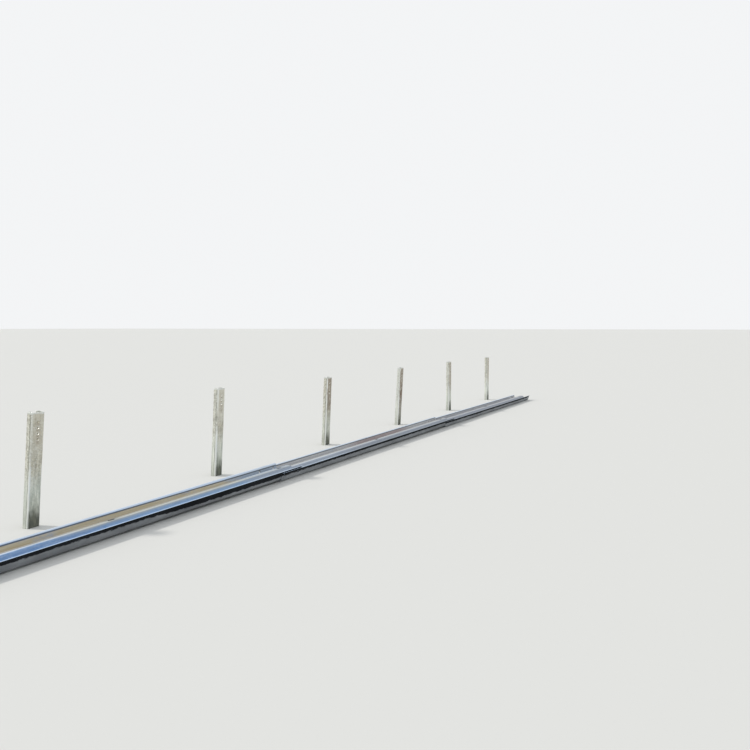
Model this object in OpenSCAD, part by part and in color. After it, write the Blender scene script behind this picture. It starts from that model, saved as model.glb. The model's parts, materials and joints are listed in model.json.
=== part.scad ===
// Highway guardrail section, half way through being put up: a row of driven posts,
// with the corrugated rails laid out end to end on the ground on the road side.
// X runs along the road, Y points from the road to the hillside, Z is up.
// The origin is on the foot of the first post, at ground level.

/* [Run] */
// Distance from post to post
bay = 2000; // [1500:10:2600]

/* [Posts] */
// Height of a post above the ground
post_h = 795; // [600:5:1100]
// Width of the web, which faces the road
post_web = 100; // [80:1:140]
// Depth of the flanges, from the road to the hillside
post_flange = 55; // [45:1:80]
// Width of the lips on the open side
post_lip = 28; // [15:1:32]
// Thickness of the post's steel
post_t = 5; // [3:0.5:7]
// Outside radius of the post's bends
post_bend = 9; // [8:0.5:12]
// How far the second post leans over the road, in degrees
lean_2 = 6; // [0:0.1:8]
// How far the third post leans over the road, in degrees
lean_3 = 3.5; // [0:0.1:8]
// How far the fourth post leans over the road, in degrees
lean_4 = 2.6; // [0:0.1:8]
// How far the fifth post leans over the road, in degrees
lean_5 = 3.2; // [0:0.1:8]
// How much further than the rest the third post still stands out
high_3 = 10; // [0:1:40]
// How much deeper than the rest the fourth post was driven
deep_4 = 12; // [0:1:40]
// Number of bolt holes down the web
hole_count = 4; // [1:1:6]
// Diameter of the bolt holes
hole_d = 18; // [12:0.5:24]
// Distance from the top of the post to the first hole
hole_drop = 63; // [40:1:120]
// Distance from hole to hole
hole_pitch = 40; // [30:1:60]

/* [Rails] */
// Distance between the bottoms of the rail's two corrugations
rail_pitch = 194; // [170:1:215]
// Distance from the bottom of a corrugation to the edge of the rail
rail_edge = 58; // [50:1:70]
// Depth of the corrugation over the lips
rail_depth = 81; // [76:1:90]
// How much lower the middle ridge is than the lips
ridge_drop = 10; // [0:1:14]
// Thickness of the rail's sheet
rail_t = 3; // [2:0.25:4]
// Radius of the bends, at the middle of the sheet
rail_bend = 24; // [20:0.5:26]
// Radius of the bend at the lip, at the middle of the sheet
lip_bend = 8; // [6:0.5:12]
// Width of the flat lip
lip_w = 6; // [4:0.5:10]
// Width of the flat on top of the middle ridge
ridge_flat = 32; // [20:0.5:36]
// Width of the flat at the bottom of each corrugation
trough_flat = 16; // [8:0.5:20]
// Length of sheet by which one rail laps over the next
lap = 320; // [280:5:360]
// Distance from the middle of the posts' webs to the middle of the rails
rail_gap = 555; // [400:5:900]
// How far the middle of each lap lies past its post
lap_past = 160; // [0:5:400]
// Play between the two sheets where the rails lap
lap_play = 0.3; // [0.1:0.1:1]

/* [Rail slots] */
// Width of the slots
slot_w = 18; // [12:0.5:22]
// Length of the slots for the post bolts
post_slot = 60; // [40:1:80]
// Length of the slots for the lap bolts
lap_slot = 28; // [22:1:36]
// Distance between the two columns of lap slots
lap_slot_pitch = 216; // [160:1:230]

/* [Hidden] */
$fn = 48;

steel_post = [0.62, 0.63, 0.61];
steel_rail = [0.60, 0.65, 0.72];

cut = 1;
bend_steps = 10;
bays_per_rail = 2;
rail_count = 3;
module_l = bay * bays_per_rail;
rail_l = module_l + lap;

// Heights at the middle of the sheet
trough_z = rail_t / 2;
lip_z = rail_depth - rail_t / 2;
ridge_z = lip_z - ridge_drop;

// Edges of the flats, from the middle of the rail outwards
ridge_y = ridge_flat / 2;
trough_in_y = (rail_pitch - trough_flat) / 2;
trough_out_y = (rail_pitch + trough_flat) / 2;
edge_y = rail_pitch / 2 + rail_edge;
lip_y = edge_y - lip_w;

// Slope of the sheet that touches two bends on opposite sides: run and rise lie
// between their centres, and radii is the sum of their radii
function touching(run, rise, radii) = atan2(rise, run) + asin(radii / norm([run, rise]));

inner_slope = touching(trough_in_y - ridge_y, ridge_z - trough_z - 2 * rail_bend, 2 * rail_bend);
outer_slope = touching(lip_y - trough_out_y, lip_z - trough_z - lip_bend - rail_bend,
    lip_bend + rail_bend);

// A nested sheet has to rise by its thickness measured along the steeper slope
lap_rise = (rail_t + lap_play) / cos(max(inner_slope, outer_slope));

function lean(i) = i == 2 ? lean_2 : i == 3 ? lean_3 : i == 4 ? lean_4 : i == 5 ? lean_5 : 0;
function length_out(i) = post_h + (i == 3 ? high_3 : i == 4 ? -deep_4 : 0);

// Points around a bend at the middle of the sheet, each with the sheet's upward normal;
// up is 1 where the bend's centre lies under the sheet and -1 where it lies above
function bend(centre, r, from, to, up) = [
    for (k = [0 : bend_steps])
        let (a = from + (to - from) * k / bend_steps, out = [cos(a), sin(a)])
            [centre + r * out, up * out]
];

// The middle line of half the section, from the ridge out to one lip
half_line = concat(
    bend([ridge_y, ridge_z - rail_bend], rail_bend, 90, 90 - inner_slope, 1),
    bend([trough_in_y, trough_z + rail_bend], rail_bend, 270 - inner_slope, 270, -1),
    bend([trough_out_y, trough_z + rail_bend], rail_bend, 270, 270 + outer_slope, -1),
    bend([lip_y, lip_z - lip_bend], lip_bend, 90 + outer_slope, 90, 1),
    [[[edge_y, lip_z], [0, 1]]]
);

function flip(v) = [-v[0], v[1]];
function backward(list) = [for (k = [len(list) - 1 : -1 : 0]) list[k]];
middle_line = concat([for (p = backward(half_line)) [flip(p[0]), flip(p[1])]], half_line);
function face(side) = [for (p = middle_line) p[0] + side * rail_t / 2 * p[1]];

module rail_section() {
    polygon(concat(face(1), backward(face(-1))));
}

// A slot along X through the sheet at [y, z], square to a sheet that slopes by tilt
module slot(x, y, z, tilt, len) {
    translate([x, y, z]) rotate([tilt, 0, 0]) {
        for (side = [-1, 1])
            translate([side * (len - slot_w) / 2, 0, 0])
                cylinder(h = 4 * rail_t, d = slot_w, center = true);
        cube([len - slot_w, slot_w, 4 * rail_t], center = true);
    }
}

// The eight lap slots and the post slot around one lap, whose middle is at x
module lap_slots(x) {
    inner_y = (ridge_y + trough_in_y) / 2;
    inner_z = (ridge_z + trough_z) / 2;
    outer_y = (trough_out_y + lip_y + (rail_bend - lip_bend) * sin(outer_slope)) / 2;
    outer_z = (trough_z + lip_z + (rail_bend - lip_bend) * (1 - cos(outer_slope))) / 2;
    for (column = [-1, 1], side = [-1, 1]) {
        x_slot = x + column * lap_slot_pitch / 2;
        slot(x_slot, side * inner_y, inner_z, -side * inner_slope, lap_slot);
        slot(x_slot, side * outer_y, outer_z, side * outer_slope, lap_slot);
    }
    slot(x, 0, ridge_z, 0, post_slot);
}

// One rail, lying with its corrugations on the ground, from x = 0 on
module rail_sheet() {
    difference() {
        rotate([90, 0, 90]) linear_extrude(rail_l) rail_section();
        lap_slots(lap / 2);
        lap_slots(rail_l - lap / 2);
        slot(rail_l / 2, 0, ridge_z, 0, post_slot);
    }
}

// Each rail but the last is lifted at its far end, where it lies on the next
module rail(i) {
    rise = i < rail_count ? lap_rise : 0;
    x_start = (i - 1) * module_l + lap_past - lap / 2;
    color(steel_rail)
        translate([x_start, -rail_gap, 0])
            rotate([0, -atan(rise / module_l), 0]) rail_sheet();
}

module rounded(w, d, r) {
    translate([r, 0]) square([w - 2 * r, d]);
    translate([0, r]) square([w, d - 2 * r]);
    for (x = [r, w - r], y = [r, d - r]) translate([x, y]) circle(r);
}

// The lipped channel of a post, with its web's middle on y = 0
module post_section() {
    translate([-post_web / 2, -post_t / 2]) difference() {
        rounded(post_web, post_flange, post_bend);
        translate([post_t, post_t])
            rounded(post_web - 2 * post_t, post_flange - 2 * post_t, post_bend - post_t);
        translate([post_lip, post_flange - post_t - cut])
            square([post_web - 2 * post_lip, post_t + 2 * cut]);
    }
}

// A post with its holes, leaning over the road and cut off at the ground
module post(i) {
    buried = post_flange;
    color(steel_post) translate([(i - 1) * bay, 0, 0]) difference() {
        rotate([lean(i), 0, 0]) difference() {
            translate([0, 0, -buried]) linear_extrude(length_out(i) + buried) post_section();
            for (k = [0 : hole_count - 1])
                translate([0, 0, length_out(i) - hole_drop - k * hole_pitch]) rotate([90, 0, 0])
                    cylinder(h = post_t + 2 * cut, d = hole_d, center = true);
        }
        translate([-post_web, -2 * post_flange, -3 * buried])
            cube([2 * post_web, 5 * post_flange, 3 * buried]);
    }
}

post(1);  // post_1
post(2);  // post_2
post(3);  // post_3
post(4);  // post_4
post(5);  // post_5
post(6);  // post_6
post(7);  // post_7
rail(1);  // rail_1
rail(2);  // rail_2
rail(3);  // rail_3
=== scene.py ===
"""Looks of the highway guardrail section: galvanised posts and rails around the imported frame."""

import json
import math
import random

import bmesh
import bpy
from mathutils import Matrix, Vector


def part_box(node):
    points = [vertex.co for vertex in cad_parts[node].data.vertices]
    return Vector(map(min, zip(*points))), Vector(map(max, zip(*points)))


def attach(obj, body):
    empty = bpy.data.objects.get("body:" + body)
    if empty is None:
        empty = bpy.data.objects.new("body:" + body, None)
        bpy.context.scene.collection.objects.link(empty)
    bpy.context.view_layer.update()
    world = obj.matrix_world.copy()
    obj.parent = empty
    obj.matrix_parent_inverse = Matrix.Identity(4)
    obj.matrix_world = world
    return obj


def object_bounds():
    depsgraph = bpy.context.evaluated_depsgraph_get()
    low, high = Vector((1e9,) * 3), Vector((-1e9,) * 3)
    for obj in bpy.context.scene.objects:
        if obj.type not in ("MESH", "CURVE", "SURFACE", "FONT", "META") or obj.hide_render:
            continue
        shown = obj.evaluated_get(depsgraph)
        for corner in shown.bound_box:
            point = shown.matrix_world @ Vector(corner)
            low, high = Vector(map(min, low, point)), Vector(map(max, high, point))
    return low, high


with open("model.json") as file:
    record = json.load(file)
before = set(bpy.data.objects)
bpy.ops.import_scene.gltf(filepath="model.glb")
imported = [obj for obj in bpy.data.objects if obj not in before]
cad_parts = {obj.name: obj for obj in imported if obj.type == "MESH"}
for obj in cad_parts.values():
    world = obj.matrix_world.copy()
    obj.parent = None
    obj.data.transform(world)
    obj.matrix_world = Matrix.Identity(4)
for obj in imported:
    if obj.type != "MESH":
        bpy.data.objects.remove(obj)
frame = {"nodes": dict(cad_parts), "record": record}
CAD_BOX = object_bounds()
NODES = frame["nodes"]

# Sizes that the looks follow, from the frame; the front is the -Y side, which the posts' webs face
MOUNT_AT = {mount["name"]: mount["pos_m"] for mount in frame["record"]["mounts"]}
POST_COUNT = sum(name.startswith("post_") for name in NODES)
RAIL_COUNT = sum(name.startswith("rail_") for name in NODES)
BAY = MOUNT_AT["post_2_foot"][0]
POST_LOW, POST_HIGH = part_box("post_1")
POST_H = POST_HIGH.z
WEB_HALF = POST_HIGH.x
FLANGE_BACK = POST_HIGH.y
STEEL = -2 * POST_LOW.y
HOLE_DROPS = [POST_H - at[2] for name, at in MOUNT_AT.items() if name.startswith("post_1_hole_")]
RAIL_Y = MOUNT_AT["rail_3_post_slots"][1]
# The posts' lean in degrees, and how much further out than the rest a post stands, as in the part
LEAN = {2: 6.0, 3: 3.5, 4: 2.6, 5: 3.2}
OUT = {3: 0.010, 4: -0.012}
# Outside radius of the posts' bends, and width of the lips on their open side, as in the part
POST_BEND, POST_LIP = 0.009, 0.028

# Camera: where the photograph was taken from, and which way it looks along the row and across it
CAM_PLACE = Vector((-1.475, -4.3175, 1.3636))
CAM_PITCH = math.radians(3.685)
CAM_ALONG, CAM_ACROSS = 0.8961, 0.4438
CAM_LENS = 36.0
CAM_SENSOR = 36.0

# Sunlight: where it comes from, its strength, the width of its disc and its colour
SUN = Vector((-0.233, 0.706, 0.669))
SUN_STRENGTH = 1.7
SUN_WIDTH = math.radians(5)
SUN_COLOUR = (1.0, 0.96, 0.90)
# The sky's soft light, and the pale backdrop that the camera and reflections see in its place
SKY_COLOUR, SKY_STRENGTH = (0.94, 0.97, 1.0, 1.0), 0.78
BACKDROP_COLOUR, BACKDROP_STRENGTH = (0.90, 0.91, 0.92, 1.0), 1.0
# The floor: its look, half its width, and how far it lies below the feet
FLOOR_COLOUR = (0.70, 0.70, 0.68, 1.0)
FLOOR_ROUGH, FLOOR_GLOSS = 0.9, 0.1
FLOOR_REACH, FLOOR_DROP = 400.0, 0.001


def lean_of(i):
    return math.radians(LEAN.get(i, 0.0))


def top_of(i):
    """How long a post is from its foot to its top."""
    return POST_H + OUT.get(i, 0.0)


def rail_place(i):
    """Where a rail starts, and by how much its far end is lifted onto the next rail, as an angle."""
    low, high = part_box(f"rail_{i}")
    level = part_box(f"rail_{RAIL_COUNT}")[1][2]
    return low[0], math.asin((high[2] - level) / (high[0] - low[0]))


def srgb(r, g, b):
    """A colour on the screen's scale of 0 to 255, in linear light."""
    def lin(c):
        c /= 255.0
        return c / 12.92 if c <= 0.04045 else ((c + 0.055) / 1.055) ** 2.4
    return (lin(r), lin(g), lin(b), 1.0)


class Nodes:
    """A helper that builds a material's node tree and keeps the colour laid down in it so far."""

    def __init__(self, name):
        self.mat = bpy.data.materials.new(name)
        self.mat.use_nodes = True
        self.tree = self.mat.node_tree
        self.tree.nodes.clear()
        self.out = self.new("ShaderNodeOutputMaterial")
        self.shader = self.new("ShaderNodeBsdfPrincipled")
        self.link(self.shader.outputs[0], self.out.inputs[0])
        self.colour = None

    def new(self, kind, **props):
        n = self.tree.nodes.new(kind)
        for k, v in props.items():
            setattr(n, k, v)
        return n

    def link(self, a, b):
        self.tree.links.new(a, b)

    def put(self, socket, value):
        if isinstance(value, bpy.types.NodeSocket):
            self.link(value, socket)
        else:
            socket.default_value = value

    def calc(self, op, a, b=0.0, clamp=False):
        n = self.new("ShaderNodeMath", operation=op, use_clamp=clamp)
        self.put(n.inputs[0], a)
        self.put(n.inputs[1], b)
        return n.outputs[0]

    def times(self, first, *others):
        """The product of masks and numbers."""
        for other in others:
            first = self.calc("MULTIPLY", first, other)
        return first

    def plus(self, value, mask, amount, clamp=False):
        """The value with an amount of the mask added to it."""
        return self.calc("ADD", value, self.times(mask, amount), clamp)

    def outside(self, mask, amount=1.0):
        """1 where the mask is 0, and less by the amount where it is 1."""
        return self.plus(1.0, mask, -amount)

    def ragged(self, value, noise, reach):
        """The value pushed up and down by a noise, for a mask with a ragged edge."""
        return self.plus(value, self.calc("SUBTRACT", noise, 0.5), reach)

    def ramp(self, value, low, high):
        """0 below low, 1 above high, smooth between; low may lie above high."""
        n = self.new("ShaderNodeMapRange", interpolation_type="SMOOTHSTEP")
        self.put(n.inputs["Value"], value)
        n.inputs["From Min"].default_value = min(low, high)
        n.inputs["From Max"].default_value = max(low, high)
        n.inputs["To Min"].default_value = 0.0 if low < high else 1.0
        n.inputs["To Max"].default_value = 1.0 if low < high else 0.0
        return n.outputs["Result"]

    def band(self, value, centre, half, soft):
        """1 within half of centre, fading to 0 over soft."""
        away = self.calc("ABSOLUTE", self.calc("SUBTRACT", value, centre))
        return self.ramp(away, half + soft, half)

    def mix(self, factor, a, b):
        n = self.new("ShaderNodeMix", data_type="RGBA")
        self.put(n.inputs["Factor"], factor)
        self.put(n.inputs["A"], a)
        self.put(n.inputs["B"], b)
        return n.outputs["Result"]

    def lay(self, tint, *masks):
        """Lay a tint over the colour so far, as strongly as the product of the masks."""
        self.colour = self.mix(self.times(*masks), self.colour, tint)

    def noise(self, vector, scale, detail=4.0, rough=0.55):
        n = self.new("ShaderNodeTexNoise")
        self.put(n.inputs["Vector"], vector)
        n.inputs["Scale"].default_value = scale
        n.inputs["Detail"].default_value = detail
        n.inputs["Roughness"].default_value = rough
        return n.outputs["Fac"]

    def cells(self, vector, scale):
        """One random value per spangle of the zinc."""
        n = self.new("ShaderNodeTexVoronoi", feature="F1")
        self.put(n.inputs["Vector"], vector)
        n.inputs["Scale"].default_value = scale
        split = self.new("ShaderNodeSeparateColor")
        self.link(n.outputs["Color"], split.inputs[0])
        return split.outputs[0]

    def place(self, vector, location=(0, 0, 0), rotation=(0, 0, 0), scale=(1, 1, 1), kind="POINT"):
        n = self.new("ShaderNodeMapping", vector_type=kind)
        self.put(n.inputs["Vector"], vector)
        n.inputs["Location"].default_value = location
        n.inputs["Rotation"].default_value = rotation
        n.inputs["Scale"].default_value = scale
        return n.outputs["Vector"]

    def split(self, vector):
        n = self.new("ShaderNodeSeparateXYZ")
        self.put(n.inputs[0], vector)
        return n.outputs

    def bump(self, height, distance, strength=1.0, normal=None):
        n = self.new("ShaderNodeBump")
        n.inputs["Strength"].default_value = strength
        n.inputs["Distance"].default_value = distance
        self.put(n.inputs["Height"], height)
        if normal is not None:
            self.link(normal, n.inputs["Normal"])
        return n.outputs["Normal"]

    def shade(self, rough, metal, normal):
        """Give the shader the colour laid down so far, and the rest of its look."""
        self.put(self.shader.inputs["Base Color"], self.colour)
        self.put(self.shader.inputs["Roughness"], rough)
        self.put(self.shader.inputs["Metallic"], metal)
        self.put(self.shader.inputs["Normal"], normal)


# Colours of the posts: their old zinc
ZINC_DULL, ZINC_LIGHT = srgb(184, 181, 163), srgb(211, 206, 185)
STREAK_LIGHT, STREAK_DARK = srgb(230, 226, 208), srgb(156, 152, 134)
PATCH_DARK = srgb(160, 152, 130)
SPANGLE_LIGHT, SPANGLE_DARK = srgb(232, 233, 226), srgb(150, 149, 138)
FLECK_LIGHT, FLECK_DARK = srgb(240, 240, 228), srgb(142, 136, 118)
# a painted reflection of the sky, paler on the flanges
FLANGE_SKY_REFLECTION = srgb(232, 238, 236)
FRECKLE = srgb(126, 122, 108)
# what the weather has done to it, with painted light inside the channel and the earth at the foot darkened
# as painted shadow
BROWN = srgb(124, 104, 88)
CHALK = srgb(236, 234, 222)
GREEN_DARK, GREEN_LIGHT = srgb(206, 214, 203), srgb(243, 247, 237)
LOW_DARK = srgb(118, 134, 128)
# painted light inside the channel
INSIDE_PAINTED_LIGHT = srgb(230, 231, 224)
SOIL_AND_SHADOW_DARK, SOIL_AND_SHADOW_LIGHT = srgb(72, 76, 66), srgb(102, 104, 90)
# and what was rubbed or stained, with painted shade behind the bends and painted highlights on the bends
# and round the holes
BEND_PAINTED_SHADE = srgb(104, 108, 98)
BEND_HIGHLIGHT_AND_WEAR, RIM_BRIGHT = srgb(244, 246, 242), srgb(226, 229, 224)
HOLE_STAIN, HOLE_TEAR, HOLE_ZINC_AND_HIGHLIGHT = srgb(158, 146, 122), srgb(134, 116, 90), srgb(242, 242, 238)

# What differs from post to post: how brown and how chalky the web is, and how strongly a painted reflection
# of the sky makes the flanges paler
WEB_BROWN = {2: 0.08, 3: 0.12, 4: 0.78, 5: 1.00, 6: 0.40, "rest": 0.20}
WEB_CHALK = {2: 0.35, 3: 0.60, "rest": 0.15}
FLANGE_REFLECTION = {2: 0.15, 3: 0.20, 4: 0.10, 5: 0.45, 6: 0.30, "rest": 0.20}
# from what height up the web is brown, and how green it is below
BROWN_FROM = {4: 0.25, 5: 0.02, "rest": 0.20}
LOW_GREEN = {4: 0.55, 5: 0.30, "rest": 0.70}
# how bright the bend's wear and painted highlight are above the middle, half the width of that bright line,
# and how dark the painted shade behind it is
BEND_TOP = {3: 0.60, 4: 0.90, 5: 0.50, "rest": 0.35}
BEND_HALF = {3: 0.010, "rest": 0.006}
BEND_SHADE_STRENGTH = {5: 0.15, "rest": 0.55}
# and how bright the zinc and its painted highlight round each hole are, from the top hole down
HOLE_HIGHLIGHT = {2: (0.15, 0.8, 0.8, 0.45), 3: (1.0, 1.0, 1.0, 0.35), "rest": (0.6, 0.6, 0.6, 0.6)}

# Places on a post, in metres. A pair is where a mask starts and where it is full. Up the post,
# with the height over which brown sets in:
BROWN_RISE = 0.25
CHALK_Z = (0.42, 0.58)
GREEN_Z = (0.46, 0.22)
LOW_DARK_Z = (0.34, 0.16)
BEND_SHINE_Z = (0.50, 0.36)
FOOT_DARK_Z = (0.195, 0.050)
# from its top, up from a hole's middle, and outwards from there:
RIM_Z = (-0.013, -0.006)
TEAR_TOP_Z, TEAR_END_Z = (0.002, -0.006), (-0.055, -0.012)
RING_AWAY = (0.0135, 0.0105)
# either way from the web's middle, and either way from its light strip, which lies at STRIP_X:
FLANGE_X = (WEB_HALF - 0.003, WEB_HALF - 0.001)
INSIDE_X = (WEB_HALF - 0.003, WEB_HALF - 0.004)
STRIP_X, FROM_STRIP = 0.006, (0.008, 0.030)
# and from front to back:
WEB_Y = (0.006, 0.003)
INSIDE_FRONT_Y, INSIDE_BACK_Y = (0.0010, 0.0020), (0.0495, 0.0485)
# Bands on a post, as centre, half width and soft edge; the stain's height is from the top
BEND_SHADE_Y = (0.0135, 0.0030, 0.0045)
BEND_Y = (-0.0025, 0.0085, 0.005)
BACK_EDGE_Y = (FLANGE_BACK, 0.003, 0.006)
TEAR_X = (0.0, 0.005, 0.009)
STAIN_X = (0.0, 0.022, 0.020)
STAIN_Z = (-0.12, 0.07, 0.06)
# The soft edge of the bright lines on the bends and back edges
CORNER_SOFT = 0.004
# How far apart the posts lie in their noises, so that no two look alike
POST_SHIFT = (3.7, 1.3, 0.4)


class PostSteel(Nodes):
    """Weathered galvanised steel of one post, in that post's own upright frame."""

    def __init__(self, i):
        super().__init__(f"post_steel_{i}")
        self.i = i
        where = self.new("ShaderNodeTexCoord").outputs["Object"]
        # a TEXTURE mapping undoes the post's place and lean
        upright = {"location": ((i - 1) * BAY, 0, 0), "rotation": (lean_of(i), 0, 0), "kind": "TEXTURE"}
        self.x, self.y, self.z = self.split(self.place(where, **upright))
        self.from_top = self.calc("SUBTRACT", self.z, top_of(i))
        self.from_middle = self.calc("ABSOLUTE", self.x)
        self.seeded = self.place(where, location=[shift * i for shift in POST_SHIFT])
        # upright streaks where rain has run down, blotches of old zinc, and the grain of the coat
        self.streaks = self.drawn_out(0.07, 70, 4.0, 0.6)
        self.blotches = self.noise(self.seeded, 13, 6.0, 0.65)
        self.patches = self.drawn_out(0.5, 34, 4.0, 0.6)
        self.speckle = self.noise(self.seeded, 240, 2.0)
        self.spangle = self.cells(self.seeded, 110)
        self.side = self.ramp(self.from_middle, *FLANGE_X)
        self.web = self.ramp(self.y, *WEB_Y)

    def own(self, table):
        """What a table says of this post."""
        return table.get(self.i, table["rest"])

    def drawn_out(self, squeeze, *texture):
        """A noise drawn out along the post."""
        return self.noise(self.place(self.seeded, scale=(1, 1, squeeze)), *texture)

    def coat(self):
        """Blotches, streaks and spangle of the zinc."""
        self.colour = self.mix(self.ramp(self.blotches, 0.38, 0.62), ZINC_DULL, ZINC_LIGHT)
        self.lay(STREAK_LIGHT, self.ramp(self.streaks, 0.50, 0.64), 0.60)
        self.lay(STREAK_DARK, self.ramp(self.streaks, 0.48, 0.34), 0.55)
        self.lay(PATCH_DARK, self.ramp(self.patches, 0.56, 0.66), 0.45)
        self.lay(SPANGLE_LIGHT, self.ramp(self.spangle, 0.45, 0.95), 0.42)
        self.lay(SPANGLE_DARK, self.ramp(self.spangle, 0.45, 0.05), 0.34)

    def flanges(self):
        """Light and dark flecks on the flanges, and a painted reflection of the sky that makes them paler.
        """
        flecks = self.drawn_out(0.6, 75, 3.0, 0.7)
        self.lay(FLECK_LIGHT, self.side, self.ramp(flecks, 0.53, 0.62), 0.7)
        self.lay(FLECK_DARK, self.side, self.ramp(flecks, 0.46, 0.38), 0.6)
        # painted reflection of the sky, making the flanges paler
        self.lay(FLANGE_SKY_REFLECTION, self.side, self.own(FLANGE_REFLECTION))

    def weather(self):
        """Brown and chalk on the web, a bluer green towards the foot, and painted light inside the channel.
        """
        face = self.outside(self.side)
        brown_z = self.own(BROWN_FROM)
        high = self.ramp(self.z, brown_z, brown_z + BROWN_RISE)
        self.lay(BROWN, high, self.ramp(self.patches, 0.30, 0.55), face, self.own(WEB_BROWN))
        high = self.ramp(self.z, *CHALK_Z)
        self.lay(CHALK, high, self.ramp(self.blotches, 0.25, 0.50), face, self.own(WEB_CHALK))
        green = self.mix(self.ramp(self.streaks, 0.40, 0.60), GREEN_DARK, GREEN_LIGHT)
        self.lay(green, self.ramp(self.z, *GREEN_Z), self.own(LOW_GREEN))
        # the lower web is darker at its sides, with a light strip down its middle
        low = self.calc("SUBTRACT", self.ramp(self.z, *LOW_DARK_Z), self.side, clamp=True)
        from_strip = self.calc("ABSOLUTE", self.calc("SUBTRACT", self.x, STRIP_X))
        self.lay(LOW_DARK, low, self.ramp(from_strip, *FROM_STRIP), 0.28)
        # the inside, sheltered from the rain, is painted brighter: painted light against the channel's own
        # shade
        between = self.times(self.ramp(self.y, *INSIDE_FRONT_Y), self.ramp(self.y, *INSIDE_BACK_Y))
        self.lay(INSIDE_PAINTED_LIGHT, self.ramp(self.from_middle, *INSIDE_X), between, 0.6)

    def foot(self):
        """Earth splashed up the foot, less on the flanges, and darkened as painted shadow."""
        height = self.ragged(self.ragged(self.z, self.blotches, 0.14), self.streaks, 0.10)
        self.dirt_and_shadow = self.times(self.ramp(height, *FOOT_DARK_Z), self.outside(self.side, 0.75))
        # earth at the foot, darker also as painted shadow
        soil_and_shadow = self.mix(self.ramp(self.patches, 0.40, 0.60), SOIL_AND_SHADOW_DARK, SOIL_AND_SHADOW_LIGHT)
        self.lay(soil_and_shadow, self.dirt_and_shadow, 0.92)

    def edges(self):
        """Bends brighter with wear and a painted highlight, back edges and rim rubbed brighter, and painted
        shade as a dark line behind the bends.
        """
        gaps = self.ramp(self.drawn_out(0.2, 24, 3.0), 0.36, 0.54)
        # painted shade: a dark line behind each bend
        self.lay(BEND_PAINTED_SHADE, self.side, self.band(self.y, *BEND_SHADE_Y), gaps, self.own(BEND_SHADE_STRENGTH))
        corner = self.band(self.from_middle, WEB_HALF, self.own(BEND_HALF), CORNER_SOFT)
        broken = self.ramp(self.drawn_out(0.3, 30, 4.0), 0.40, 0.56)
        # the painted highlight and wear on the bend run without a break below the middle
        highlight = self.ramp(self.z, *BEND_SHINE_Z)
        line = self.calc("MAXIMUM", self.times(broken, self.own(BEND_TOP)), highlight)
        bend = self.times(corner, self.band(self.y, *BEND_Y), line)
        back = self.times(corner, self.band(self.y, *BACK_EDGE_Y), broken, 0.75)
        # wear on the back edges, and wear with a painted highlight on the bends
        highlight_and_wear = self.times(self.calc("MAXIMUM", bend, back), self.outside(self.dirt_and_shadow, 0.6))
        self.lay(BEND_HIGHLIGHT_AND_WEAR, highlight_and_wear)
        rim = self.times(self.ramp(self.ragged(self.from_top, self.patches, 0.030), *RIM_Z), 0.95)
        self.lay(RIM_BRIGHT, rim)
        self.bare_and_highlit = self.calc("MAXIMUM", highlight_and_wear, rim)

    def holes(self):
        """Bare zinc round the bolt holes, brightened as a painted highlight, brown tears under them, and a
        stain about them all.
        """
        tears, rings = 0.0, 0.0
        for drop, highlight in zip(HOLE_DROPS, self.own(HOLE_HIGHLIGHT)):
            off = self.calc("ADD", self.from_top, drop)
            run = self.times(self.ramp(off, *TEAR_TOP_Z), self.ramp(off, *TEAR_END_Z))
            tears = self.calc("MAXIMUM", self.times(run, self.band(self.x, *TEAR_X)), tears)
            away = self.calc("SQRT", self.calc("ADD", self.times(off, off), self.times(self.x, self.x)))
            rings = self.calc("MAXIMUM", self.times(self.ramp(away, *RING_AWAY), highlight), rings)
        about = self.times(self.band(self.from_top, *STAIN_Z), self.band(self.x, *STAIN_X))
        self.lay(HOLE_STAIN, about, self.web, self.ramp(self.blotches, 0.36, 0.56), 0.35)
        self.lay(HOLE_TEAR, tears, self.web, self.ramp(self.streaks, 0.34, 0.56), 0.50)
        # bare zinc round the holes, brightened hole by hole as a painted highlight
        rings = self.times(rings, self.web)
        self.lay(HOLE_ZINC_AND_HIGHLIGHT, rings, 0.90)
        self.bare_and_highlit = self.calc("MAXIMUM", self.bare_and_highlit, rings)

    def grain(self):
        """Darker freckles, and a surface that is smoother on the worn places and painted highlights and
        duller in the earth at the foot.
        """
        self.lay(FRECKLE, self.ramp(self.speckle, 0.61, 0.73), 0.45)
        rough = self.plus(self.plus(0.34, self.blotches, 0.30), self.bare_and_highlit, -0.16)
        rough = self.plus(rough, self.dirt_and_shadow, 0.35, clamp=True)
        metal = self.plus(self.plus(0.30, self.bare_and_highlit, 0.25), self.dirt_and_shadow, -0.30, clamp=True)
        uneven = self.bump(self.noise(self.seeded, 20, 2.0), 0.0022)
        fine = self.calc("ADD", self.spangle, self.calc("ADD", self.speckle, self.streaks))
        self.shade(rough, metal, self.bump(fine, 0.0003, 0.6, uneven))


def post_material(i):
    """All the layers of one post's steel, from the coat outwards."""
    steel = PostSteel(i)
    steel.coat()
    steel.flanges()
    steel.weather()
    steel.foot()
    steel.edges()
    steel.holes()
    steel.grain()
    return steel.mat


# Colours of the rails: each one's sheet, blue on the first rail as a painted reflection of the sky, and the
# dust on it, partly a painted reflection of the road
SHEET_AND_SKY_DULL = {1: srgb(108, 152, 206), 2: srgb(162, 172, 183), 3: srgb(148, 156, 166)}
SHEET_AND_SKY_LIGHT = {1: srgb(136, 178, 226), 2: srgb(182, 191, 201), 3: srgb(168, 175, 186)}
DUST_AND_ROAD_REFLECTION = {1: srgb(200, 180, 138), 2: srgb(178, 174, 172), 3: srgb(164, 161, 164)}
# the grain of the sheet
SHEET_SPANGLE = srgb(214, 224, 236)
DRAWN_LIGHT, DRAWN_DARK = srgb(206, 216, 226), srgb(104, 118, 138)
SHEET_FRECKLE = srgb(108, 110, 114)
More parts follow.
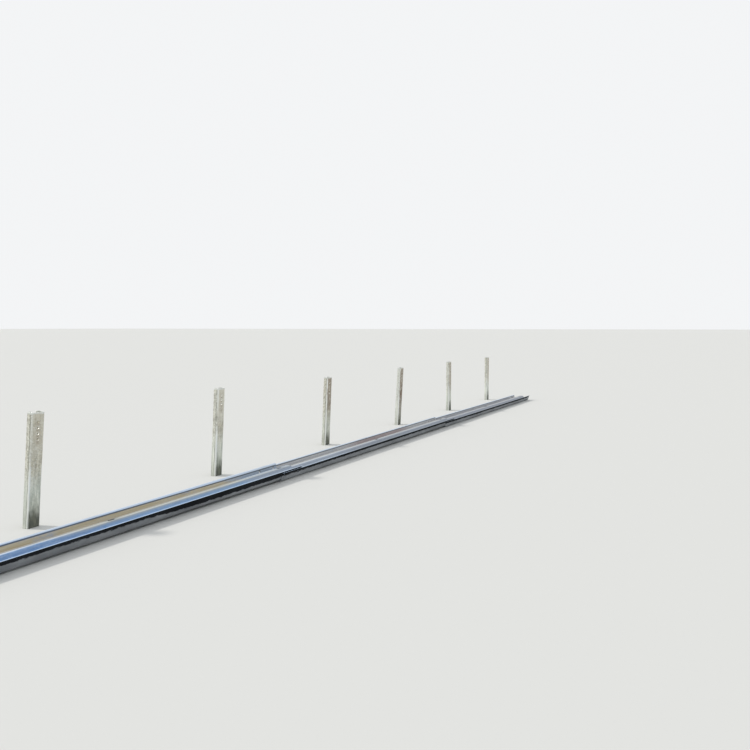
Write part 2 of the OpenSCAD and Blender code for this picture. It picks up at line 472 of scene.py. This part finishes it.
# what the first rail's painted reflection of the sky pales to, the grey at its far end in front and behind,
# and its ridge before and at that end
SKY_REFLECTION_PALER = srgb(172, 201, 224)
END_GREY_FRONT, END_GREY_BACK = srgb(181, 189, 199), srgb(163, 171, 177)
RIDGE_DULL, RIDGE_AT_END = srgb(176, 176, 160), srgb(146, 156, 160)
# the underside, the near black painted shade below the front lip, and the earth and rust tinge
UNDER_DARK, UNDER_LIGHT = srgb(124, 128, 132), srgb(152, 156, 160)
SHADE_BLACK_DARK, SHADE_BLACK_LIGHT = srgb(8, 10, 13), srgb(20, 23, 27)
DUST_PALE, HUMP_DIRT = srgb(236, 228, 208), srgb(138, 132, 116)
RUST_TINGE = srgb(160, 136, 134)
# painted highlights on the lips and the ridge, and painted shade under the lips, along the ridge's turn and
# on the front half
LIP_BACK_HIGHLIGHT, LIP_FRONT_HIGHLIGHT, LIP_SHADE_LINE = srgb(214, 226, 240), srgb(204, 226, 252), srgb(80, 84, 90)
RIDGE_HIGHLIGHT, TURN_SHADE = srgb(206, 214, 218), srgb(84, 104, 134)
FRONT_SHADE, FRONT_LIP_SHADE = srgb(120, 124, 132), srgb(92, 98, 106)

# How much dust and painted reflection of the road lies on each rail, and how bright the painted highlight
# on its ridge is
DUST_AND_REFLECTION_AMOUNT = {1: 0.95, 2: 0.70, 3: 0.60}
RIDGE_HIGHLIGHT_STRENGTH = {1: 0.80, 2: 0.35, 3: 0.35}

# Places on a rail, in metres. A pair is where a mask starts and where it is full. Along the rail:
FADE_X = (1.9, 3.5)
END_GREY_X = (3.74, 4.08)
RIDGE_DULL_X = (1.5, 2.0)
FRONT_SHADE_X = (0.8, 1.8)
# where the first rail's painted highlight along the lips and the painted shade below them widen, and by how
# much:
LIP_WIDER_X, LIP_WIDER = (1.4, 4.0), 0.008
BLACK_WIDER_X, BLACK_WIDER = (2.3, 2.8), 0.018
# across the rail, from its middle:
FADE_Y = (-0.010, -0.022)
END_GREY_BACK_Y = (0.030, 0.050)
FRONT_FLANK_Y, BACK_FLANK_Y = (-0.100, -0.108), (0.070, 0.090)
TINGE_Y = (0.030, 0.060)
LIP_Y, FRONT_LIP_Y = (0.130, 0.136), (-0.130, -0.136)
FRONT_Y, LIP_FRONT_TINT_Y = (0.010, -0.010), (0.0, -0.1)
# and up the rail:
BLACK_TOP_Z, BLACK_END_Z = (0.0805, 0.0790), (0.0455, 0.0545)
BACK_FLANK_Z, BOTTOM_Z = (0.0680, 0.0640), (0.030, 0.010)
LIP_Z = (0.0735, 0.0755)
# Which way a face looks, by the Y and the Z of its normal:
FACING_FRONT, FACING_DOWN = (-0.20, -0.55), (0.05, -0.10)
# Bands on a rail, as centre, half width and soft edge
HUMP_Y = (0.017, 0.014, 0.006)
RIDGE_HIGHLIGHT_Y = (-0.010, 0.006, 0.004)
RIDGE_Y = (-0.013, 0.010, 0.020)
TURN_Y = (-0.034, 0.006, 0.010)
LIP_LINE_Z = (0.0695, 0.0035, 0.0025)
TINGE_X = (2.55, 0.45, 0.50)
# How far apart the rails lie in their noises, so that no two look alike
RAIL_SHIFT = (5.1, 2.2, 0.0)


class RailSteel(Nodes):
    """New galvanised sheet of one rail, dusty on top, with painted highlights and reflections, and painted
    shade, near black, below its front lip.
    """

    def __init__(self, i):
        super().__init__(f"rail_steel_{i}")
        self.i = i
        coords = self.new("ShaderNodeTexCoord")
        where = coords.outputs["Object"]
        start, tilt = rail_place(i)
        # a TEXTURE mapping undoes the rail's place and tilt
        level = {"location": (start, RAIL_Y, 0), "rotation": (0, -tilt, 0), "kind": "TEXTURE"}
        self.x, self.y, self.z = self.split(self.place(where, **level))
        self.facing = self.split(coords.outputs["Normal"])
        self.under = self.ramp(self.facing[2], *FACING_DOWN)
        self.upper = self.outside(self.under)
        self.seeded = self.place(where, location=[shift * i for shift in RAIL_SHIFT])
        self.along = self.place(self.seeded, scale=(0.05, 1, 1))
        self.blotches = self.noise(self.place(self.seeded, scale=(0.3, 1, 1)), 9, 6.0, 0.62)
        self.drawn = self.noise(self.along, 95, 4.0, 0.6)
        self.speckle = self.noise(self.seeded, 230, 2.0)
        self.spangle = self.cells(self.seeded, 75)
        self.dust_and_reflection = DUST_AND_REFLECTION_AMOUNT[i]
        self.lip_z = self.z

    def sheet(self):
        """The drawn sheet with its spangle; on the first rail blue, a painted reflection of the sky."""
        # on the first rail the sheet is blue: a painted reflection of the sky
        light = self.ramp(self.blotches, 0.36, 0.64)
        self.colour = self.mix(light, SHEET_AND_SKY_DULL[self.i], SHEET_AND_SKY_LIGHT[self.i])
        self.lay(SHEET_SPANGLE, self.spangle, 0.20)
        self.lay(DRAWN_LIGHT, self.ramp(self.drawn, 0.52, 0.66), 0.30)
        self.lay(DRAWN_DARK, self.ramp(self.drawn, 0.46, 0.34), 0.25)

    def fade(self):
        """The painted reflection of the sky pales along the rail, and near its far end the painted
        reflection and the dust give way to grey.
        """
        # painted reflection of the sky, paler along the front half
        self.lay(SKY_REFLECTION_PALER, self.ramp(self.x, *FADE_X), self.ramp(self.y, *FADE_Y), 0.45)
        # near the far end the painted sky reflection and the dust give way to grey
        self.end_grey = self.ramp(self.plus(self.x, self.blotches, 0.5), *END_GREY_X)
        greyer = self.mix(self.ramp(self.y, *END_GREY_BACK_Y), END_GREY_FRONT, END_GREY_BACK)
        self.lay(greyer, self.end_grey, 0.85)
        self.dust_and_reflection = self.times(self.dust_and_reflection, self.outside(self.end_grey))
        # and the painted highlight along its lips grows wider
        self.lip_z = self.plus(self.z, self.ramp(self.x, *LIP_WIDER_X), LIP_WIDER)

    def underside(self):
        """Greyer below, and painted shade, near black, just under the front lip."""
        light = self.ramp(self.blotches, 0.35, 0.65)
        self.lay(self.mix(light, UNDER_DARK, UNDER_LIGHT), self.under)
        tatters = self.noise(self.place(self.seeded, scale=(0.35, 1, 1)), 55, 5.0, 0.65)
        height = self.ragged(self.z, tatters, 0.030)
        if self.i == 1:
            height = self.plus(height, self.ramp(self.x, *BLACK_WIDER_X), BLACK_WIDER)
        # painted shade: near black on the front flank just under the lip, with a ragged lower edge
        flank = self.times(self.ramp(self.y, *FRONT_FLANK_Y), self.ramp(self.facing[1], *FACING_FRONT))
        self.black = self.times(flank, self.ramp(self.z, *BLACK_TOP_Z), self.ramp(height, *BLACK_END_Z))
        self.lay(self.mix(light, SHADE_BLACK_DARK, SHADE_BLACK_LIGHT), self.black, 0.96)

    def dust(self):
        """Dust and earth behind the ridge, on the back flank below its lip, and in the corrugations; on the
        first rail the tan of the back flank is partly a painted reflection of the road.
        """
        flank = self.times(self.ramp(self.y, *BACK_FLANK_Y), self.ramp(self.z, *BACK_FLANK_Z))
        hump = self.band(self.y, *HUMP_Y)
        raised = self.calc("MAXIMUM", flank, self.times(hump, 0.9))
        bottoms = self.times(self.ramp(self.z, *BOTTOM_Z), 0.85)
        cover = self.calc("MAXIMUM", raised, bottoms)
        self.cover = self.times(cover, self.upper, self.ramp(self.blotches, 0.20, 0.45))
        paler = self.mix(0.30, DUST_AND_ROAD_REFLECTION[self.i], DUST_PALE)
        earth = self.mix(self.ramp(self.drawn, 0.38, 0.62), DUST_AND_ROAD_REFLECTION[self.i], paler)
        earth = self.mix(self.times(hump, 0.80), earth, HUMP_DIRT)
        # dust, and on the first rail's back flank also a painted reflection of the road
        self.lay(earth, self.cover, self.dust_and_reflection)
        if self.i == 2:
            # rust-tinged dirt on the back half, about the rail's middle and past it
            far = self.times(self.band(self.x, *TINGE_X), self.ramp(self.y, *TINGE_Y))
            self.lay(RUST_TINGE, far, self.upper, 0.55)

    def lips(self):
        """Painted highlights along the lips, over a darker line of painted shade."""
        edge = self.ramp(self.calc("ABSOLUTE", self.y), *LIP_Y)
        # painted shade: a darker line under the lips
        self.lay(LIP_SHADE_LINE, edge, self.band(self.lip_z, *LIP_LINE_Z), self.upper, 0.85)
        # painted highlights along the lips
        highlight = self.times(edge, self.ramp(self.lip_z, *LIP_Z), self.outside(self.black))
        bright = self.mix(self.ramp(self.y, *LIP_FRONT_TINT_Y), LIP_BACK_HIGHLIGHT, LIP_FRONT_HIGHLIGHT)
        self.lay(bright, highlight, self.upper, 0.92)

    def ridge(self):
        """A painted highlight along the ridge's crown, and painted shade as a darker line where the sheet
        turns down from it.
        """
        # painted highlight along the ridge's crown
        self.lay(RIDGE_HIGHLIGHT, self.band(self.y, *RIDGE_HIGHLIGHT_Y), self.upper, RIDGE_HIGHLIGHT_STRENGTH[self.i])
        if self.i == 1:
            # from about a metre and a half on the ridge is duller and tan, and grey at the far end
            dull = self.mix(self.end_grey, RIDGE_DULL, RIDGE_AT_END)
            self.lay(dull, self.ramp(self.x, *RIDGE_DULL_X), self.band(self.y, *RIDGE_Y), self.upper, 0.75)
        # painted shade where the sheet turns down from the ridge
        self.lay(TURN_SHADE, self.band(self.y, *TURN_Y), self.upper, 0.35)

    def shade_front(self):
        """Painted shade makes the front half duller, its lip most of all; on the second rail only past its
        first metre.
        """
        past = self.ramp(self.x, *FRONT_SHADE_X) if self.i == 2 else 1.0
        front = self.times(self.ramp(self.y, *FRONT_Y), self.upper, past)
        # painted shade on the front half and its lip
        self.lay(FRONT_SHADE, front, 0.42)
        self.lay(FRONT_LIP_SHADE, front, self.ramp(self.y, *FRONT_LIP_Y), 0.60)

    def grain(self):
        """Darker freckles, and a surface that is duller under the dust and painted reflection and dullest
        under the near black painted shade.
        """
        self.lay(SHEET_FRECKLE, self.ramp(self.speckle, 0.63, 0.76), 0.3)
        rough = self.plus(self.plus(0.26, self.blotches, 0.20), self.cover, 0.30)
        rough = self.plus(self.plus(rough, self.under, 0.15), self.black, 0.35, clamp=True)
        metal = self.plus(self.plus(0.38, self.cover, -0.34), self.black, -0.38, clamp=True)
        self.put(self.shader.inputs["Specular IOR Level"], self.plus(0.5, self.black, -0.45))
        waves = self.bump(self.noise(self.along, 22, 2.0), 0.0016)
        fine = self.calc("ADD", self.spangle, self.speckle)
        self.shade(rough, metal, self.bump(fine, 0.00022, 0.5, waves))


def rail_material(i):
    """All the layers of one rail's steel, from the sheet outwards."""
    steel = RailSteel(i)
    steel.sheet()
    if i == 1:
        steel.fade()
    steel.underside()
    steel.dust()
    steel.lips()
    steel.ridge()
    if i > 1:
        steel.shade_front()
    steel.grain()
    return steel.mat


# The burr along a post's top edge follows the middle of the steel, a little past the lips' ends
END_OVERHANG = 0.0004
MID_BEND = POST_BEND - STEEL / 2
MID_SIDE_X, MID_BACK_Y = WEB_HALF - STEEL / 2, FLANGE_BACK - STEEL / 2
LIP_END_X = WEB_HALF - POST_LIP - END_OVERHANG
BEND_STEPS = 6
# Distance between its rings of points, how many points a ring has, and how square a ring is
RIM_STEP = 0.003
RING_POINTS = 10
SQUARE_ACROSS, SQUARE_UP = 0.7, 0.8
# How far it stands out and hangs down, and how much its swell adds to each
RIM_OUT, RIM_OUT_MORE, RIM_OUT_JITTER = 0.0009, 0.0009, 0.00015
RIM_DEPTH, RIM_DEPTH_MORE = 0.0035, 0.0022
# How far its middle is above the top, and how flat its upper half is
RIM_LIFT, RIM_FLAT = 0.0006, 0.12
# How much of it is there at its two ends, and how much more with each ring away from them
END_SIZE, END_GROWTH = 0.35, 0.3
# The waves that make it swell: the seed, how many, and the spans of strength, frequency and start
RIM_SEED = 700
RIM_WAVES = 5
WAVE_STRENGTH, WAVE_FREQUENCY, WAVE_START = (0.4, 1.0), (0.09, 0.55), (0, 6.3)


def bend_points(x, y, start):
    """A quarter turn round a bend's centre, without its first point."""
    angles = (start + math.radians(90 * k / BEND_STEPS) for k in range(1, BEND_STEPS + 1))
    return [(x + MID_BEND * math.cos(a), y + MID_BEND * math.sin(a)) for a in angles]


def section_path():
    """Points along the middle of the lipped channel, from one lip's end to the other's."""
    bend_x = MID_SIDE_X - MID_BEND
    half = [(0.0, 0.0), (bend_x, 0.0)]
    half += bend_points(bend_x, MID_BEND, math.radians(-90))
    half += [(MID_SIDE_X, MID_BACK_Y - MID_BEND)]
    half += bend_points(bend_x, MID_BACK_Y - MID_BEND, 0.0)
    half += [(LIP_END_X, MID_BACK_Y)]
    corners = [(-px, py) for px, py in reversed(half[1:])] + half
    points = []
    for (ax, ay), (bx, by) in zip(corners, corners[1:]):
        gap = math.hypot(bx - ax, by - ay)
        steps = max(1, round(gap / RIM_STEP))
        points += [(ax + (bx - ax) * k / steps, ay + (by - ay) * k / steps) for k in range(steps)]
    return points + [corners[-1]]


def squared(value, power):
    """A sine or cosine pushed outwards, so that a circle made from it is squarer."""
    return math.copysign(abs(value) ** power, value)


def rim_points(i, path):
    """One ring of points round each point of the path, in the post's upright frame."""
    rng = random.Random(RIM_SEED + i)
    spans = (WAVE_STRENGTH, WAVE_FREQUENCY, WAVE_START)
    waves = [[rng.uniform(*span) for span in spans] for _ in range(RIM_WAVES)]
    points = []
    for k, (px, py) in enumerate(path):
        ax, ay = path[max(0, k - 1)]
        bx, by = path[min(len(path) - 1, k + 1)]
        length = math.hypot(bx - ax, by - ay)
        nx, ny = (by - ay) / length, -(bx - ax) / length
        swell = 0.5 + sum(a * math.sin(f * k + p) for a, f, p in waves) / len(waves)
        out = RIM_OUT + RIM_OUT_MORE * swell + rng.uniform(-RIM_OUT_JITTER, RIM_OUT_JITTER)
        depth = RIM_DEPTH + RIM_DEPTH_MORE * swell
        fade = min(1.0, END_SIZE + END_GROWTH * min(k, len(path) - 1 - k))
        for j in range(RING_POINTS):
            a = 2 * math.pi * j / RING_POINTS
            across = (STEEL / 2 + out * fade) * squared(math.cos(a), SQUARE_ACROSS)
            rise = depth * squared(math.sin(a), SQUARE_UP)
            height = rise if rise < 0 else RIM_FLAT * rise
            points.append(Vector((px + nx * across, py + ny * across, top_of(i) + RIM_LIFT + height)))
    return points


def tube_faces(rings):
    """Faces of a closed tube through so many rings of points."""
    faces = []
    for k in range(rings - 1):
        for j in range(RING_POINTS):
            a, b = k * RING_POINTS + j, k * RING_POINTS + (j + 1) % RING_POINTS
            faces.append((a, b, b + RING_POINTS, a + RING_POINTS))
    faces.append(tuple(range(RING_POINTS)))
    faces.append(tuple(reversed(range((rings - 1) * RING_POINTS, rings * RING_POINTS))))
    return faces


def make_rim(i, mat):
    """The burr along the top edge of a post, raised as the post was driven in."""
    path = section_path()
    stand = Matrix.Translation(((i - 1) * BAY, 0, 0)) @ Matrix.Rotation(lean_of(i), 4, "X")
    placed = [stand @ v for v in rim_points(i, path)]
    low, high = CAD_BOX
    verts = [[min(max(c, a), b) for c, a, b in zip(v, low, high)] for v in placed]
    mesh = bpy.data.meshes.new(f"post_rim_{i}")
    mesh.from_pydata(verts, [], tube_faces(len(path)))
    mesh.materials.append(mat)
    for poly in mesh.polygons:
        poly.use_smooth = len(poly.vertices) == 4
    shell = bmesh.new()
    shell.from_mesh(mesh)
    bmesh.ops.recalc_face_normals(shell, faces=shell.faces)
    shell.to_mesh(mesh)
    shell.free()
    rim = bpy.data.objects.new(f"post_rim_{i}", mesh)
    bpy.context.scene.collection.objects.link(rim)
    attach(rim, "root")


def dress(name, mat):
    """Give one of the part's own nodes its material."""
    NODES[name].data.materials.clear()
    NODES[name].data.materials.append(mat)


def make_camera():
    data = bpy.data.cameras.new("camera")
    data.lens, data.sensor_width = CAM_LENS, CAM_SENSOR
    cam = bpy.data.objects.new("camera", data)
    bpy.context.scene.collection.objects.link(cam)
    level = math.cos(CAM_PITCH)
    ahead = Vector((CAM_ALONG * level, CAM_ACROSS * level, -math.sin(CAM_PITCH)))
    cam.location = CAM_PLACE
    cam.rotation_euler = ahead.to_track_quat("-Z", "Y").to_euler()
    bpy.context.scene.camera = cam


def floor_material():
    """Plain, pale and dull, so that it takes the part's shadow and little else."""
    n = Nodes("floor")
    n.put(n.shader.inputs["Base Color"], FLOOR_COLOUR)
    n.put(n.shader.inputs["Roughness"], FLOOR_ROUGH)
    n.put(n.shader.inputs["Specular IOR Level"], FLOOR_GLOSS)
    return n.mat


def make_floor():
    mesh = bpy.data.meshes.new("floor")
    corners = [(x * FLOOR_REACH, y * FLOOR_REACH, 0) for x, y in ((-1, -1), (1, -1), (1, 1), (-1, 1))]
    mesh.from_pydata(corners, [], [(0, 1, 2, 3)])
    floor = bpy.data.objects.new("floor", mesh)
    floor.location.z = -FLOOR_DROP
    bpy.context.scene.collection.objects.link(floor)
    floor.data.materials.append(floor_material())


def make_sky():
    """Soft light all round, and a plain backdrop for the rays that show the sky itself."""
    world = bpy.data.worlds.new("world")
    world.use_nodes = True
    bpy.context.scene.world = world
    tree = world.node_tree
    tree.nodes.clear()

    def background(colour, strength):
        n = tree.nodes.new("ShaderNodeBackground")
        n.inputs["Color"].default_value = colour
        n.inputs["Strength"].default_value = strength
        return n.outputs[0]

    def either(a, b):
        n = tree.nodes.new("ShaderNodeMath")
        n.operation = "MAXIMUM"
        tree.links.new(a, n.inputs[0])
        tree.links.new(b, n.inputs[1])
        return n.outputs[0]

    rays = tree.nodes.new("ShaderNodeLightPath").outputs
    mirrored = either(rays["Is Glossy Ray"], rays["Is Transmission Ray"])
    pick = tree.nodes.new("ShaderNodeMixShader")
    tree.links.new(either(rays["Is Camera Ray"], mirrored), pick.inputs[0])
    tree.links.new(background(SKY_COLOUR, SKY_STRENGTH), pick.inputs[1])
    tree.links.new(background(BACKDROP_COLOUR, BACKDROP_STRENGTH), pick.inputs[2])
    out = tree.nodes.new("ShaderNodeOutputWorld")
    tree.links.new(pick.outputs[0], out.inputs[0])


def make_sun():
    data = bpy.data.lights.new("key", "SUN")
    data.energy = SUN_STRENGTH
    data.angle = SUN_WIDTH
    data.color = SUN_COLOUR
    key = bpy.data.objects.new("key", data)
    key.rotation_euler = SUN.to_track_quat("Z", "Y").to_euler()
    bpy.context.scene.collection.objects.link(key)


make_camera()
for i in range(1, POST_COUNT + 1):
    steel = post_material(i)
    dress(f"post_{i}", steel)
    make_rim(i, steel)
for i in range(1, RAIL_COUNT + 1):
    dress(f"rail_{i}", rail_material(i))
make_floor()
make_sky()
make_sun()

view = bpy.context.scene.view_settings
view.view_transform = "Standard"
